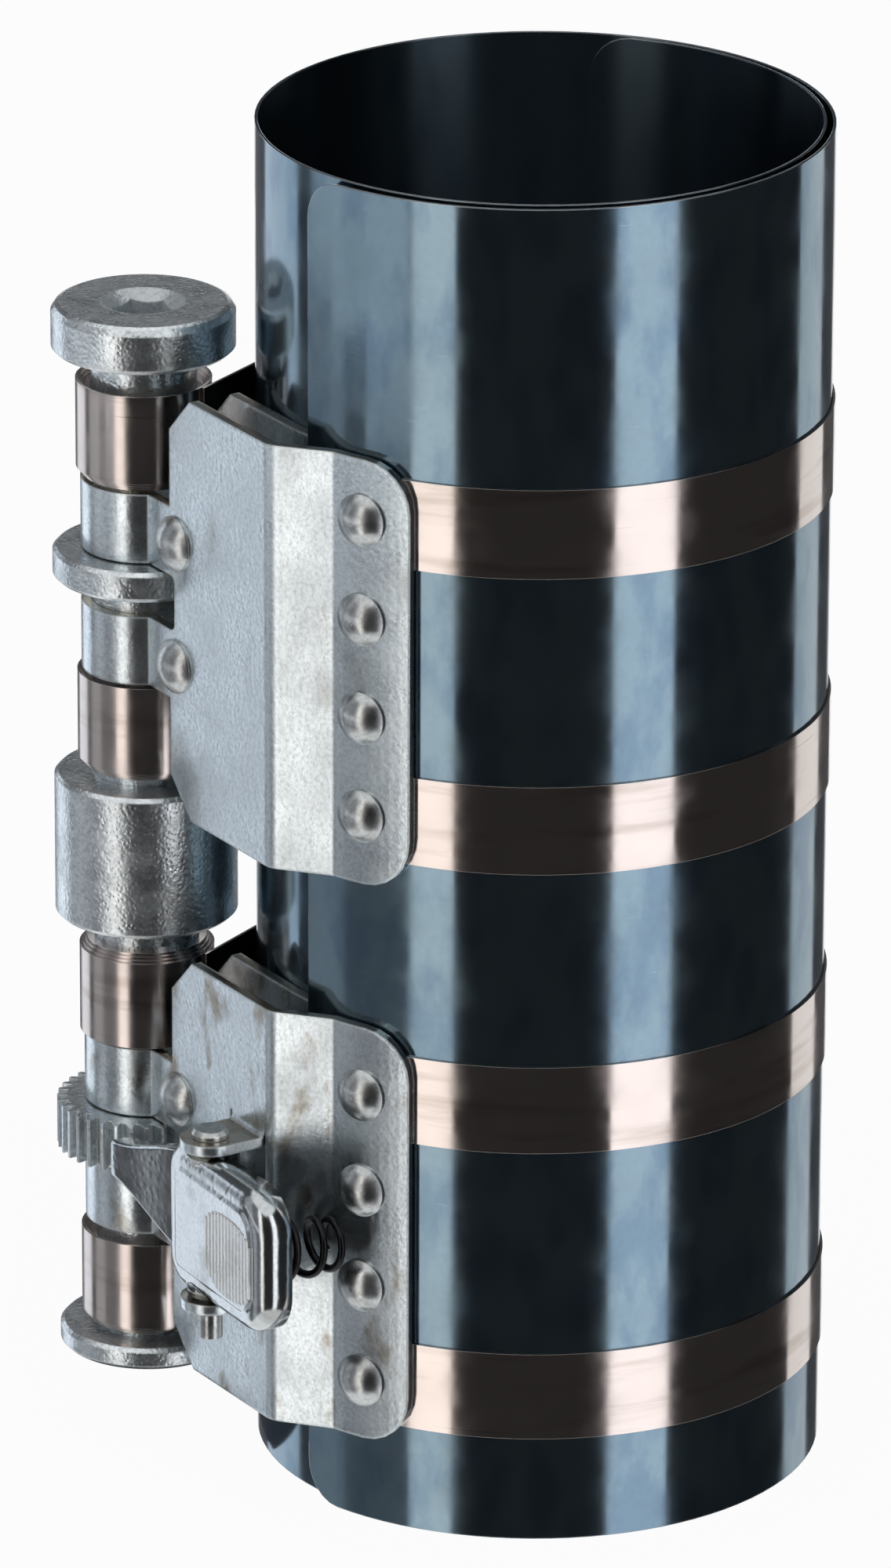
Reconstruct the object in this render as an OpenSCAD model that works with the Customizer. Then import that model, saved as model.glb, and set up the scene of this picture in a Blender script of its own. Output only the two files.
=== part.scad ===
// Piston ring compressor: a rolled spring-steel sleeve, four steel bands that pull it tight,
// and a ratcheted spindle, carried in two folded brackets, on which the bands wind.
// The origin lies on the sleeve's axis at its lower rim, and the spindle stands on the -X side.

/* [Sleeve] */
// Height of the sleeve
sleeve_h = 165; // [150:1:200]
// Outer radius of the sleeve's outer turn
sleeve_r = 34; // [32:0.5:45]
// Thickness of the sleeve's sheet
sleeve_t = 0.35; // [0.25:0.05:0.6]
// Gap between the sleeve's two turns
turn_gap = 0.5; // [0.3:0.05:0.9]
// Direction in which the sheet's inner end lies
inner_end_a = 86; // [60:1:95]
// Direction in which the sheet's outer end lies
outer_end_a = 226; // [223:1:230]
// Radius of the rounded corners of the sheet's ends
sheet_corner = 5; // [2:0.5:8]
// Height of bare sleeve above the upper bracket
top_bare = 31.6; // [20:0.5:40]
// Height of bare sleeve below the lower bracket
bottom_bare = 11; // [10:0.5:20]

/* [Bands] */
// Width of a band
band_w = 10.8; // [8:0.1:12]
// Thickness of a band
band_t = 0.3; // [0.2:0.05:0.4]
// Layers of each band that are wound on the spindle
layers = 6; // [5:1:10]
// Layers on the outside of a coil that have crept sideways
crept_layers = 3; // [1:1:4]
// Sideways step from one crept layer to the next
creep = 0.35; // [0.1:0.05:0.35]

/* [Spindle] */
// Radius of the shaft
shaft_r = 6.25; // [5.5:0.05:6.5]
// Radius of the head, the spacer ring, the collar and the ratchet wheel
head_r = 10.9; // [10.2:0.1:12]
// Height of the head
head_h = 5.7; // [4:0.1:9]
// Gap between the head and the sleeve
side_gap = 1.9; // [1.5:0.1:4]
// Across flats of the hexagon socket in the head
hex_af = 6.5; // [5:0.1:8]
// Depth of the hexagon socket
hex_depth = 14; // [8:0.5:20]
// Radius of the socket's round mouth
mouth_r = 5; // [4.8:0.1:6.5]
// Height of the spacer ring
ring_h = 3.7; // [2:0.1:5]
// Height of the end flange
end_flange_h = 2.7; // [1.5:0.1:4]
// Broken edge on the turned pieces
edge = 0.5; // [0.2:0.1:0.8]

/* [Brackets] */
// Thickness of the brackets' sheet
sheet = 1.25; // [1:0.05:1.5]
// Half the width over the two legs at the neck
neck_half = 3.4; // [3:0.1:4]
// Height of an ear
ear_h = 8.5; // [6:0.1:10]
// Room in height that a wheel has between two ears
ear_room = 0.8; // [0.7:0.1:2]
// Bevel on the corners beside the spindle
leg_bevel = 4.6; // [2:0.1:6]
// Distance by which the front leg bends past the rear leg's touch on the sleeve
bend_past = 4.6; // [3.5:0.1:6]
// Set-back of the front leg's first bend
bend_1_set = 0.8; // [0.5:0.1:1.2]
// Set-back of the front leg's second bend
bend_2_set = 0.4; // [0.3:0.1:0.8]
// Direction in which the riveted flange starts
flange_start_a = 236; // [234:0.5:238]
// Direction in which the riveted flange ends
flange_end_a = 252; // [250:0.5:256]
// Radius of the flange's outer corners
flange_corner = 6; // [3:0.5:8]
// Height of bracket above and below its bands
band_edge = 2; // [1.5:0.1:4]

/* [Rivets] */
// Radius of a rivet's shank
rivet_r = 1.6; // [1.2:0.1:2]
// Radius of a flange rivet's head
flange_head_r = 3.2; // [2.5:0.1:3.4]
// Radius of an ear rivet's head
ear_head_r = 3.3; // [2.8:0.1:3.5]
// Height of a rivet's dome
dome_h = 1.6; // [1:0.1:2]

/* [Ratchet] */
// Teeth on the ratchet wheel
teeth = 36; // [24:1:38]
// Height of the ratchet wheel
wheel_h = 6; // [5:0.1:6.5]
// Depth of a tooth
tooth_h = 1.2; // [0.9:0.1:1.5]
// Angle that a tooth's land and its root take up
land_deg = 2.5; // [1.5:0.5:3]

/* [Pawl] */
// Thickness of the pawl's sheet
pawl_t = 1.2; // [0.8:0.1:1.4]
// Height of the thumb plate
pawl_h = 18.2; // [16:0.1:20]
// Height of the thumb plate's middle from the bracket's middle
pawl_mid = -1.05; // [-1.5:0.05:0]
// Length of the thumb plate on the wheel's side of the pin
pawl_left = 6.6; // [5:0.1:7.5]
// Length of the thumb plate on the spring's side of the pin
pawl_right = 17.6; // [16.8:0.1:19]
// Depth of the thumb plate's rim
rim_depth = 4.2; // [3.5:0.1:5]
// Radius of the thumb plate's corners
plate_corner = 5.5; // [4:0.1:6]
// Rounding between the thumb plate's face and its rim
rim_round = 2; // [1.4:0.1:2.2]
// Radius of the pawl's pin
pin_r = 1.4; // [1.2:0.05:1.6]
// Distance from the leg's face to the pin's axis
pin_out = 5.2; // [4.8:0.1:6]
// Distance from the pin's axis to the thumb plate's face
plate_out = 3.6; // [3.4:0.1:4.5]
// Width of the tabs that hold the pin
tab_w = 7.2; // [6:0.1:8]
// Height of the pawl's nose
nose_h = 4.7; // [3:0.1:5]
// Thickness of the pawl's nose
nose_t = 3.2; // [2.5:0.1:3.5]
// Direction of the nose's corner from the spindle, measured from the leg
nose_a = -40.4; // [-42:0.2:-38]
// Raised ribs under the thumb
ribs = 11; // [6:1:12]
// Width of one rib
rib_w = 0.45; // [0.3:0.05:0.6]

/* [Spring] */
// Radius of the spring's wire
wire_r = 0.5; // [0.35:0.05:0.6]
// Middle radius of the spring's wide end
wide_r = 4.2; // [3.6:0.1:4.3]
// Middle radius of the spring's narrow end
narrow_r = 2.7; // [2.3:0.1:3]
// Turns of the spring
turns = 3.5; // [3:0.5:5]

/* [Hidden] */
$fn = 144;
// Clearances: still seats, sheets laid on each other, running fits, and play along the spindle
seat_gap = 0.02;
lay_gap = 0.05;
run_gap = 0.05;
slide_gap = 0.12;
axial_gap = 0.2;
// Angle by which a sheet is drawn past its end before its end is trimmed round
trim = 2;
// Room between a band and the ear beside it, on the inner and the outer side of a bracket
inner_room = 0.35;
outer_room = 1.4;
// Room between the upper coil and the head, and beside the collar
head_room = 3.6;
collar_room_top = 2.1;
collar_room_bottom = 4.2;
// Room between the lower coil and the end flange, and the shaft's end beyond that flange
foot_room = 1.6;
shaft_end = 0.4;

// Sleeve: inner faces of the inner turn, the outer turn and the raised outer end
turn_2_r = sleeve_r - sleeve_t;
turn_1_r = turn_2_r - turn_gap - sleeve_t;
step = turn_2_r - turn_1_r;
tail_r = turn_1_r + sleeve_t + slide_gap;
end_r = tail_r + sheet + slide_gap;
lift = end_r - turn_2_r;
band_lay = sleeve_t + lay_gap;

// Spindle
spindle_d = sleeve_r + side_gap + head_r;
ear_r = shaft_r + run_gap;
coil_bore = shaft_r + seat_gap;
coil_r = coil_bore + layers * band_t;

// Brackets, in a frame on the spindle's axis with x along the legs and y to the rear
neck_mid = neck_half - sheet / 2;
tail_mid = tail_r + sheet / 2;
leg_a = -asin((tail_mid + neck_mid) / spindle_d);
sleeve_axis = [spindle_d * cos(leg_a), -spindle_d * sin(leg_a)];
leg_edge = head_r + 0.6;
slot_deep = 1;
slot_round = 0.9;
ear_neck = leg_edge + slot_deep;
ear_low = (wheel_h + ear_room) / 2;
ear_high = ear_low + ear_h;
inner_band = ear_high + inner_room + band_w / 2;
outer_band = ear_high + outer_room + band_w / 2;
bracket_h = 2 * (outer_band + band_w / 2 + band_edge);
lower_z = bottom_bare + bracket_h / 2;
upper_z = sleeve_h - top_bare - bracket_h / 2;
band_in_r = end_r + band_lay;
flange_r = band_in_r + band_t + lay_gap;
flange_mid = flange_r + sheet / 2;
flange_face = flange_r + sheet;
touch_s = sleeve_axis[0];
bend_1 = [touch_s + bend_past, -neck_mid];
flange_turn = flange_end_a - flange_start_a;
flange_heading = flange_start_a - leg_a - 270;
flange_start = sleeve_axis + flange_mid * unit(flange_start_a - leg_a);
bend_2 = flange_start - bend_2_set * unit(flange_heading);
facet_heading = atan2(bend_2[1] - bend_1[1], bend_2[0] - bend_1[0]);
bend_1_r = bend_1_set / tan(facet_heading / 2);
bend_2_turn = flange_heading - facet_heading;
bend_2_r = bend_2_set / tan(abs(bend_2_turn) / 2);
tail_end_a = flange_end_a - 2;
tail_turn = tail_end_a - leg_a - 270;
front_path = concat([[[leg_edge, -neck_mid], 0]],
    bend_path([bend_1[0] - bend_1_set, -neck_mid], 0, bend_1_r, facet_heading, 6),
    bend_path(bend_2 - bend_2_set * unit(facet_heading), facet_heading, bend_2_r, bend_2_turn, 4),
    bend_path(flange_start, flange_heading, flange_mid, flange_turn + trim, 9, 1));
rear_path = concat([[[leg_edge, neck_mid], 0]],
    bend_path([touch_s, neck_mid], 0, tail_mid, tail_turn + trim, 18));
rivet_a = (flange_start_a + flange_end_a) / 2 - 2;
rivet_hole_r = rivet_r + seat_gap;
ear_rivet_s = leg_edge + 1.1;
skirt_h = 0.3;

// Bands, from the top one down: outer and inner one of the upper bracket, then of the lower bracket
band_z = [upper_z + outer_band, upper_z - inner_band, lower_z + inner_band, lower_z - outer_band];
creep_way = [-1, -1, 1, -1];
strap_gap = 0.12;
strap_r = turn_1_r + step / 2 + band_lay;
strap_high = strap_r + band_t + strap_gap + coil_r;
// Direction of the sleeve's own frame, in which each strap runs along -x
roll_a = asin(strap_high / spindle_d);
strap_len = step / 2 + spindle_d * cos(roll_a);

// Spindle stack
head_z = band_z[0] + band_w / 2 + head_room;
collar_z = band_z[2] + band_w / 2 + collar_room_bottom;
collar_h = band_z[1] - band_w / 2 - collar_room_top - collar_z;
ring_z = upper_z + ear_low - axial_gap - ring_h;
wheel_z = lower_z + ear_low - axial_gap - wheel_h;
end_flange_z = band_z[3] - band_w / 2 - foot_room - end_flange_h;
shaft_z = end_flange_z - shaft_end;
end_flange_r = head_r - 0.2;

// Pawl and its tabs, in the legs' frame with heights from the lower bracket's middle
tab_gap = 0.4;
tab_bend = 1.25;
relief = 0.4;
pin_s = bend_1[0] - bend_1_set - relief - tab_w / 2;
pin_y = -(neck_half + pin_out);
tab_face = pawl_h / 2 + tab_gap;
window_half = tab_face + sheet / 2 + tab_bend;
pin_foot = 4;
pin_head_r = 2.2;
pin_head_h = 1;
lug_r = 2.8;
face_y = pin_y - plate_out;
rim_y = face_y + rim_depth;
tip_gap = 0.2;
face_gap = 0.1;
nose_at = (head_r + tip_gap) * unit(nose_a);
steep_a = -acos((nose_at[0] - face_gap) / head_r);
nose_len = 3;
web_above = 6.6;
web_below = 4;
nose_low = wheel_z - lower_z + (wheel_h - nose_h) / 2;
rib_h = 0.2;
rib_area = [12, 9.4];
rib_middle = [pin_s + 10, -1.3 - pawl_mid];

// Spring, from the thumb plate's back to the flange
spring_room = 0.4;
wide_at = [pin_s + pawl_right - pawl_t - spring_room - wire_r - wide_r, face_y + pawl_t + wire_r + slide_gap];
narrow_x = pin_s + 13.5;
touch_x = narrow_x - narrow_r - wire_r;
narrow_at = [narrow_x, face_of_flange(touch_x) - wire_r - slide_gap];
steps_per_turn = 20;
wire_sides = 8;

blued = [0.20, 0.23, 0.28];
bright = [0.72, 0.70, 0.68];
zinc = [0.66, 0.70, 0.73];
dull_zinc = [0.50, 0.53, 0.55];
polished = [0.78, 0.77, 0.75];
black = [0.05, 0.05, 0.06];

// Unit vector in a direction
function unit(a) = [cos(a), sin(a)];

// Points and headings along a bend of radius r that starts at p: left for a positive turn
function bend_path(p, heading, r, turn, steps, first = 0) =
    let (side = sign(turn), centre = p + side * r * unit(heading + 90))
    [for (i = [first:steps]) let (now = heading + turn * i / steps) [centre - side * r * unit(now + 90), now]];

// Place of the front leg's outer face at x, on its sloping facet or on its flange
function face_of_flange(x) = x < bend_2[0]
    ? bend_2[1] + (x - bend_2[0]) * tan(facet_heading) - sheet / 2 / cos(facet_heading)
    : sleeve_axis[1] - sqrt(pow(flange_face, 2) - pow(x - sleeve_axis[0], 2));

// Flange rivets' heights: one on each of the bracket's two bands, and two evenly between them
function rivet_heights(top, bottom) = [for (i = [0:3]) top + (bottom - top) * i / 3];

// Upright sheet bent to an arc, with its inner face at radius r
module arc_wall(r, t, h, from_a, to_a, centre = [0, 0]) {
    translate([centre[0], centre[1], 0])
        rotate([0, 0, from_a])
            rotate_extrude(angle = to_a - from_a)
                translate([r, 0])
                    square([t, h]);
}

// The same sheet, clockwise from the +x side of its centre
module clockwise_wall(r, t, h, sweep, centre) {
    translate([centre[0], centre[1], 0])
        mirror([0, 1, 0])
            rotate_extrude(angle = sweep)
                translate([r, 0])
                    square([t, h]);
}

// Bend of an upright sheet that runs along +x on its middle line: left for a positive turn
module bend(r, turn, t, h) {
    side = sign(turn);
    from_a = side > 0 ? -90 : 90 + turn;
    arc_wall(r - t / 2, t, h, from_a, from_a + abs(turn), [0, side * r]);
}

// Upright sheet along a middle line of points, each with its heading
module strip(path, t, h) {
    right = [for (s = path) s[0] - t / 2 * unit(s[1] + 90)];
    left = [for (i = [len(path) - 1:-1:0]) path[i][0] + t / 2 * unit(path[i][1] + 90)];
    linear_extrude(h)
        polygon(concat(right, left));
}

// What is cut from a sheet drawn past its end in direction a, to give it an upright end with two eased corners,
// from low to high: way is 1 where the sheet lies clockwise of its end, else -1
module end_trim(r, a, way, corner, low, high) {
    beyond = 2;
    deep = 6;
    arc = [for (turn = [90:-15:0]) corner * (unit(turn) - [1, 1])];
    rotate([0, 0, a])
        translate([r, 0, 0])
            mirror([0, way > 0 ? 0 : 1, 0])
                rotate([90, 0, 90])
                    linear_extrude(deep, center = true)
                        polygon(concat(
                            [[beyond, low - 1], [beyond, high + 1], [-corner, high + 1]],
                            [for (q = arc) [q[0], high + q[1]]],
                            [for (k = [len(arc) - 1:-1:0]) [arc[k][0], low - arc[k][1]]],
                            [[-corner, low - 1]]));
}

// Frame on the spindle's axis, with x along the brackets' legs and y to the rear
module leg_frame(z) {
    translate([-spindle_d, 0, z])
        rotate([0, 0, leg_a])
            children();
}

// Turned piece with broken edges and a bore
module turned_ring(r, h, bore) {
    rotate_extrude()
        polygon([[bore, 0], [r - edge, 0], [r, edge], [r, h - edge], [r - edge, h], [bore, h]]);
}

// Places children along a radius at the flange rivets, pointing outwards
module at_flange_rivets(heights) {
    for (z = heights)
        rotate([0, 0, rivet_a])
            translate([0, 0, z])
                rotate([0, 90, 0])
                    children();
}

// Domed rivet head standing on z = 0
module dome(r) {
    ball = (r * r + dome_h * dome_h) / (2 * dome_h);
    cylinder(r = r, h = skirt_h);
    translate([0, 0, skirt_h])
        intersection() {
            translate([0, 0, dome_h - ball])
                sphere(r = ball);
            cylinder(r = r, h = dome_h);
        }
}

// Sheet rolled clockwise: an inner turn, half a turn that steps out over it, and an outer turn that
// rises to pass over the brackets' rear legs
module sleeve() {
    color(blued)
        rotate([0, 0, roll_a]) {
            difference() {
                arc_wall(turn_1_r, sleeve_t, sleeve_h, 180, 360 + inner_end_a - roll_a + trim);
                end_trim(turn_1_r, inner_end_a - roll_a, 1, sheet_corner, 0, sleeve_h);
            }
            arc_wall(turn_1_r + step / 2, sleeve_t, sleeve_h, 0, 180, [step / 2, 0]);
            difference() {
                clockwise_wall(turn_2_r + lift / 2, sleeve_t, sleeve_h,
                    360 + roll_a - outer_end_a + trim, [-lift / 2, 0]);
                end_trim(end_r, outer_end_a - roll_a, -1, sheet_corner, 0, sleeve_h);
                rotate([0, 0, -roll_a])
                    at_flange_rivets(concat(upper_rivets(), lower_rivets()))
                        translate([0, 0, tail_r])
                            cylinder(r = rivet_hole_r, h = flange_face - tail_r);
            }
        }
}

function upper_rivets() = rivet_heights(band_z[0], band_z[1]);
function lower_rivets() = rivet_heights(band_z[2], band_z[3]);

// Band from its riveted end, round the sleeve, to where it meets its coil on the spindle
module tension_band(i) {
    color(bright)
        difference() {
            translate([0, 0, band_z[i] - band_w / 2])
                rotate([0, 0, roll_a]) {
                    clockwise_wall(turn_2_r + lift / 2 + band_lay, band_t, band_w,
                        360 + roll_a - flange_start_a, [-lift / 2, 0]);
                    arc_wall(strap_r, band_t, band_w, 0, 90, [step / 2, 0]);
                    translate([step / 2 - strap_len, strap_r, 0])
                        cube([strap_len, band_t, band_w]);
                }
            at_flange_rivets([band_z[i]])
                cylinder(r = rivet_hole_r, h = flange_face + 1);
        }
}

module tension_band_1() { tension_band(0); }
module tension_band_2() { tension_band(1); }
module tension_band_3() { tension_band(2); }
module tension_band_4() { tension_band(3); }

// What is cut from both legs beside the spindle: bevelled corners, and a slot between the ears for the wheel
module leg_cuts() {
    high = bracket_h / 2 + 1;
    low = bracket_h / 2 - leg_bevel - 1;
    slot_corner = [leg_edge + slot_deep - slot_round, ear_low - slot_round];
    upper_arc = [for (turn = [0:15:90]) slot_corner + slot_round * unit(turn)];
    lower_arc = [for (k = [len(upper_arc) - 1:-1:0]) [upper_arc[k][0], -upper_arc[k][1]]];
    rotate([90, 0, 0])
        linear_extrude(4 * neck_half, center = true) {
            for (side = [-1, 1])
                polygon([[leg_edge - 1, side * high], [leg_edge + leg_bevel + 1, side * high],
                    [leg_edge - 1, side * low]]);
            polygon(concat([[leg_edge - 1, -ear_low]], lower_arc, upper_arc, [[leg_edge - 1, ear_low]]));
        }
}

// Ear: the sheet's loop round the shaft, with a neck to each leg
module ear_loop() {
    linear_extrude(ear_h)
        difference() {
            union() {
                circle(r = ear_r + sheet);
                translate([0, -neck_half])
                    square([ear_neck, 2 * neck_half]);
            }
            circle(r = ear_r);
            translate([0, sheet - neck_half])
                square([ear_neck + 1, 2 * (neck_half - sheet)]);
        }
}

// Folded sheet: two ears, a rear leg that lies on the sleeve, and a front leg bent twice to a riveted flange
module bracket_sheet() {
    half = bracket_h / 2;
    for (low = [-ear_high, ear_low])
        translate([0, 0, low])
            ear_loop();
    difference() {
        translate([0, 0, -half])
            strip(front_path, sheet, bracket_h);
        leg_cuts();
        translate([sleeve_axis[0], sleeve_axis[1], 0])
            end_trim(flange_mid, flange_end_a - leg_a, 1, flange_corner, -half, half);
    }
    difference() {
        translate([0, 0, -half])
            strip(rear_path, sheet, bracket_h);
        leg_cuts();
        translate([sleeve_axis[0], sleeve_axis[1], 0])
            end_trim(tail_mid, tail_end_a - leg_a, 1, flange_corner, -half, half);
    }
}

// Rivet holes of a bracket
module bracket_holes(z, heights) {
    at_flange_rivets(heights)
        cylinder(r = rivet_hole_r, h = flange_face + 1);
    leg_frame(z)
        at_ear_rivets()
            translate([0, 0, -2 * neck_half])
                cylinder(r = rivet_hole_r, h = 4 * neck_half);
}

// Places children at the ear rivets, pointing forwards through both legs
module at_ear_rivets() {
    for (side = [-1, 1])
        translate([ear_rivet_s, 0, side * (ear_low + ear_h / 2)])
            rotate([90, 0, 0])
                children();
}

// Tab bent out of the window's upper edge, round about the pin, at height face above the plate's middle
module pin_tab() {
    translate([pin_s - tab_w / 2, -neck_mid, window_half])
        rotate([0, 90, 0])
            bend(tab_bend, -90, sheet, tab_w);
    translate([0, 0, tab_face])
        linear_extrude(sheet) {
            translate([pin_s - tab_w / 2, pin_y])
                square([tab_w, -pin_y - neck_mid - tab_bend]);
            translate([pin_s, pin_y])
                circle(r = tab_w / 2);
        }
}

// Window in the front leg, with a relief beside each tab's bend
module pawl_window() {
    translate([pin_s, -neck_mid, pawl_mid])
        cube([tab_w, 2 * sheet, 2 * window_half], center = true);
    for (x = [pin_s - (tab_w + relief) / 2, pin_s + (tab_w + relief) / 2])
        translate([x, -neck_mid, pawl_mid])
            cube([relief, 2 * sheet, 2 * (window_half + relief)], center = true);
}

module upper_bracket() {
    color(zinc)
        difference() {
            leg_frame(upper_z)
                bracket_sheet();
            bracket_holes(upper_z, upper_rivets());
        }
}

module lower_bracket() {
    color(zinc)
        difference() {
            leg_frame(lower_z) {
                difference() {
                    bracket_sheet();
                    pawl_window();
                }
                translate([0, 0, pawl_mid])
                    for (side = [0, 1])
                        mirror([0, 0, side])
                            pin_tab();
            }
            bracket_holes(lower_z, lower_rivets());
            leg_frame(lower_z)
                translate([pin_s, pin_y, pawl_mid - 2 * tab_face])
                    cylinder(r = pin_r + seat_gap, h = 4 * tab_face);
        }
}

// Rivets through flange, band, sleeve end and rear leg, closed flush on the inside
module flange_rivets(heights) {
    color(polished)
        at_flange_rivets(heights) {
            translate([0, 0, tail_r + lay_gap])
                cylinder(r = rivet_r, h = flange_face - tail_r);
            translate([0, 0, flange_face])
                dome(flange_head_r);
        }
}

module upper_flange_rivets() { flange_rivets(upper_rivets()); }
module lower_flange_rivets() { flange_rivets(lower_rivets()); }

// Rivets that hold the two legs together beside the ears
module ear_rivets(z) {
    color(polished)
        leg_frame(z)
            at_ear_rivets() {
                translate([0, 0, -neck_half])
                    cylinder(r = rivet_r, h = 2 * neck_half);
                for (side = [0, 1])
                    mirror([0, 0, side])
                        translate([0, 0, neck_half])
                            dome(ear_head_r);
            }
}

module upper_ear_rivets() { ear_rivets(upper_z); }
module lower_ear_rivets() { ear_rivets(lower_z); }

module pawl_pin() {
    top = pawl_mid + tab_face + sheet;
    bottom = pawl_mid - tab_face - sheet - pin_foot;
    color(polished)
        leg_frame(lower_z)
            translate([pin_s, pin_y, 0]) {
                translate([0, 0, bottom])
                    cylinder(r = pin_r, h = top - bottom);
                translate([0, 0, top + lay_gap])
                    rotate_extrude()
                        polygon([[0, -lay_gap], [pin_r, -lay_gap], [pin_r, 0], [pin_head_r, 0],
                            [pin_head_r, pin_head_h / 2], [pin_head_r - 0.4, pin_head_h], [0, pin_head_h]]);
            }
}

// Conical compression spring, as one round wire on a narrowing coil
module pawl_spring() {
    count = turns * steps_per_turn;
    centres = [for (k = [0:count]) let (f = k / count, a = 360 * turns * f, r = wide_r + (narrow_r - wide_r) * f)
        [wide_at[0] + (narrow_at[0] - wide_at[0]) * f + r * cos(a),
            wide_at[1] + (narrow_at[1] - wide_at[1]) * f, r * sin(a)]];
    points = [for (k = [0:count]) let (a = 360 * k / steps_per_turn)
        for (j = [0:wire_sides - 1]) let (b = 360 * j / wire_sides)
            centres[k] + wire_r * [cos(b) * cos(a), sin(b), cos(b) * sin(a)]];
    sides = [for (k = [0:count - 1]) for (j = [0:wire_sides - 1]) let (n = (j + 1) % wire_sides)
        [k * wire_sides + j, k * wire_sides + n, (k + 1) * wire_sides + n, (k + 1) * wire_sides + j]];
    first = [for (j = [wire_sides - 1:-1:0]) j];
    last = [for (j = [0:wire_sides - 1]) count * wire_sides + j];
    color(black)
        leg_frame(lower_z + pawl_mid)
            polyhedron(points, concat(sides, [first, last]), convexity = 8);
}

// Thumb plate's outline, drawn in by an inset
module plate_outline(inset) {
    r = plate_corner - inset;
    left = pin_s - pawl_left + inset;
    right = pin_s + pawl_right - inset;
    half = pawl_h / 2 - inset;
    translate([left, r - half])
        square([right - left, 2 * (half - r)]);
    translate([left + r, -half])
        square([right - left - 2 * r, 2 * half]);
    for (x = [left + r, right - r])
        for (z = [r - half, half - r])
            translate([x, z])
                circle(r = r);
}

// Section of a plate from low to high, rounded at its face, with the rim's edge at y = 0
module plate_section(low, high, depth, r) {
    translate([low, r - depth])
        square([high - low, depth - r]);
    translate([low + r, -depth])
        square([high - low - 2 * r, depth]);
    for (x = [low + r, high - r])
        translate([x, r - depth])
            circle(r = r);
}

// Solid form of the thumb plate, rounded at its face, from the rim's edge forwards
module plate_form(inset, depth, r) {
    long = 4 * pawl_h;
    intersection() {
        rotate([90, 0, 0])
            linear_extrude(depth + 1)
                plate_outline(inset);
        translate([0, 0, -long / 2])
            linear_extrude(long)
                plate_section(pin_s - pawl_left + inset, pin_s + pawl_right - inset, depth, r);
        rotate([90, 0, 90])
            linear_extrude(long)
                mirror([1, 0, 0])
                    rotate([0, 0, 90])
                        plate_section(inset - pawl_h / 2, pawl_h / 2 - inset, depth, r);
    }
}

// Stamped pawl: a dished thumb plate with two lugs on the pin, and a nose for the ratchet wheel
module pawl_lever() {
    color(zinc)
        leg_frame(lower_z)
            difference() {
                union() {
                    translate([0, 0, pawl_mid]) {
                        difference() {
                            translate([0, rim_y, 0])
                                plate_form(0, rim_depth, rim_round);
                            translate([0, rim_y + 1, 0])
                                plate_form(pawl_t, rim_depth - pawl_t + 1, rim_round - pawl_t / 2);
                        }
                        for (side = [0, 1])
                            mirror([0, 0, side])
                                pin_lug();
                    }
                    nose();
                    thumb_ribs();
                }
                translate([pin_s, pin_y, -pawl_h])
                    cylinder(r = pin_r + run_gap, h = 2 * pawl_h);
            }
}

// Nose at the wheel's height, on a web that widens to the thumb plate
module nose() {
    root = pin_s - pawl_left + pawl_t;
    translate([0, nose_at[1], 0])
        rotate([90, 0, 0])
            linear_extrude(nose_t)
                polygon([[nose_at[0], nose_low], [nose_at[0] + nose_len, nose_low], [root, pawl_mid - web_below],
                    [root, pawl_mid + web_above], [nose_at[0] + nose_len, nose_low + nose_h],
                    [nose_at[0], nose_low + nose_h]]);
}

// Lug of the pawl round the pin, in the plane of the plate's rim
module pin_lug() {
    translate([0, 0, pawl_h / 2 - pawl_t])
        linear_extrude(pawl_t) {
            translate([pin_s, pin_y])
                circle(r = lug_r);
            translate([pin_s - lug_r, face_y + rim_round])
                square([2 * lug_r, plate_out - rim_round]);
        }
}

module thumb_ribs() {
    for (k = [0:ribs - 1])
        translate([rib_middle[0] + rib_area[0] * (k / (ribs - 1) - 0.5) - rib_w / 2, face_y - rib_h,
            pawl_mid + rib_middle[1] - rib_area[1] / 2])
            cube([rib_w, 2 * rib_h, rib_area[1]]);
}

// Shaft and head in one, with the hexagon socket for the key
module spindle_shaft() {
    top = head_z + head_h;
    mouth_h = 1.3;
    color(dull_zinc)
        translate([-spindle_d, 0, 0])
            difference() {
                rotate_extrude()
                    polygon([[0, shaft_z], [shaft_r - edge, shaft_z], [shaft_r, shaft_z + edge],
                        [shaft_r, head_z], [head_r - edge, head_z], [head_r, head_z + edge],
                        [head_r, top - 2 * edge], [head_r - edge, top - edge / 2], [head_r - 2 * edge, top],
                        [0, top]]);
                translate([0, 0, top - hex_depth])
                    cylinder(d = hex_af / cos(30), h = hex_depth + 1, $fn = 6);
                translate([0, 0, top - mouth_h])
                    cylinder(r1 = hex_af / 2, r2 = mouth_r, h = mouth_h);
                translate([0, 0, top - 0.01])
                    cylinder(r = mouth_r, h = 1);
            }
}

module spacer_ring() {
    color(dull_zinc)
        translate([-spindle_d, 0, ring_z])
            turned_ring(head_r, ring_h, coil_bore);
}

module centre_collar() {
    color(dull_zinc)
        translate([-spindle_d, 0, collar_z])
            turned_ring(head_r, collar_h, coil_bore);
}

module end_flange() {
    color(dull_zinc)
        translate([-spindle_d, 0, end_flange_z])
            turned_ring(end_flange_r, end_flange_h, coil_bore);
}

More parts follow.
